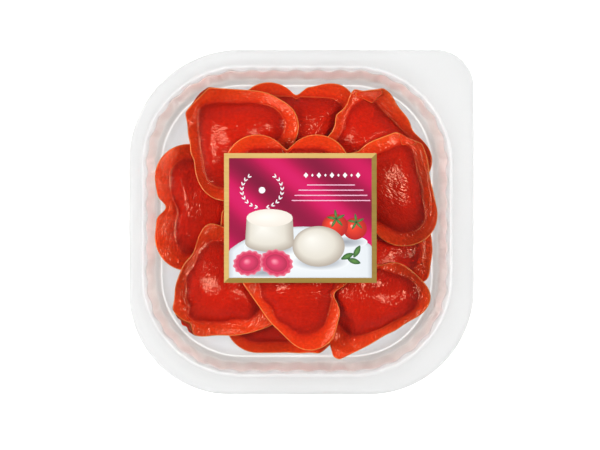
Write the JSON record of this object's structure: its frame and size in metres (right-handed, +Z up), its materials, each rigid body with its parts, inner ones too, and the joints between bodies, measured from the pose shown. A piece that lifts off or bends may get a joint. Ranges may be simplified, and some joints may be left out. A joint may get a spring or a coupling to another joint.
{
  "type": "heart ravioli in a sealed tray",
  "caption": "Square translucent tray with a fluted wall, filled with red heart-shaped ravioli under a clear lid film with a framed label.",
  "frame": {"origin": "centre of the bounding box's footprint, on the surface that the tray stands on", "axes": "+Z up out of the tray, +X to the right and +Y away from a reader of the label; the wide peel corner is at +X +Y"},
  "size_m": [0.18, 0.18, 0.0448],
  "materials": {
    "tray_plastic": "frosted translucent sheet with a soft shine",
    "pasta": "moist tomato-red egg dough, glossy on the domes and duller at the pressed edges",
    "lid_film": "thin clear film, taut and glossy",
    "label_print": "satin coated paper with a gold border and a magenta ground"
  },
  "bodies": {
    "root": {"tray": "tray_plastic", "raviolo_01": "pasta", "raviolo_02": "pasta", "raviolo_03": "pasta", "raviolo_04": "pasta", "raviolo_05": "pasta", "raviolo_06": "pasta", "raviolo_07": "pasta", "raviolo_08": "pasta", "raviolo_09": "pasta", "raviolo_10": "pasta", "raviolo_11": "pasta", "raviolo_12": "pasta", "lid_film": "lid_film", "label": "label_print"}
  },
  "joints": []
}
